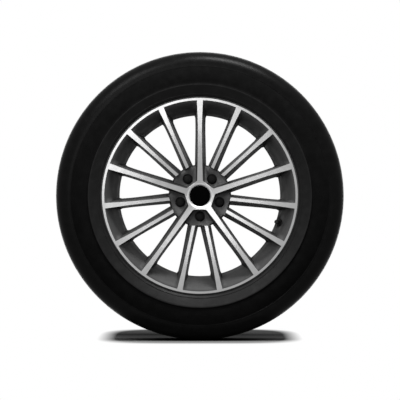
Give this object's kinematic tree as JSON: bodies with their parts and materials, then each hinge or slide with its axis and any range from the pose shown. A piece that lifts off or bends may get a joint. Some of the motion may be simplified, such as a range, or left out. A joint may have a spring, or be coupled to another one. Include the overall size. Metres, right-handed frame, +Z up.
{
  "type": "van tyre on an alloy wheel",
  "caption": "Van tyre fitted on a two-tone cast alloy wheel with slim radial spokes, centre cap, wheel bolts and tyre valve.",
  "frame": {"origin": "centre of the wheel, on its spin axis, midway across the tyre", "axes": "+Y along the spin axis towards the vehicle, street face towards -Y, +Z up"},
  "size_m": [0.6895, 0.226, 0.6896],
  "materials": {
    "tyre_rubber": "matt black moulded rubber",
    "wheel_alloy": "turned bright faces under clear lacquer, dark grey paint on all other surfaces",
    "black_plastic": "black moulded plastic",
    "bolt_steel": "black coated steel",
    "spring_steel": "bare spring steel",
    "valve_rubber": "black moulded rubber",
    "brass": "plain turned brass",
    "foam_tape": "pale foam tape",
    "weight_metal": "grey coated steel"
  },
  "bodies": {
    "wheel": {"tyre": "tyre_rubber", "alloy_wheel": "wheel_alloy", "centre_cap": "black_plastic", "centre_cap_spring_ring": "spring_steel", "wheel_bolts": "bolt_steel", "valve_rubber_body": "valve_rubber", "valve_stem_tube": "brass", "valve_core_body": "brass", "valve_core_spring": "spring_steel", "balance_weight_tape": "foam_tape", "balance_weights": "weight_metal"},
    "valve_pin": {"valve_core_pin": "brass", "valve_core_seal": "valve_rubber"},
    "dust_cap": {"valve_cap": "black_plastic", "valve_cap_seal": "valve_rubber"}
  },
  "joints": [
    {"name": "valve_pin_press", "type": "slide", "parent": "wheel", "child": "valve_pin", "axis": [0.5828, 0.788, -0.1984], "range_m": [0, 0.0015], "stiffness_N_per_m": 1200, "springref_m": -0.001, "deforming": ["valve_core_spring"]},
    {"name": "dust_cap_unscrew", "type": "slide", "parent": "wheel", "child": "dust_cap", "axis": [-0.5828, -0.788, 0.1984], "range_m": [0, 0.014]}
  ]
}
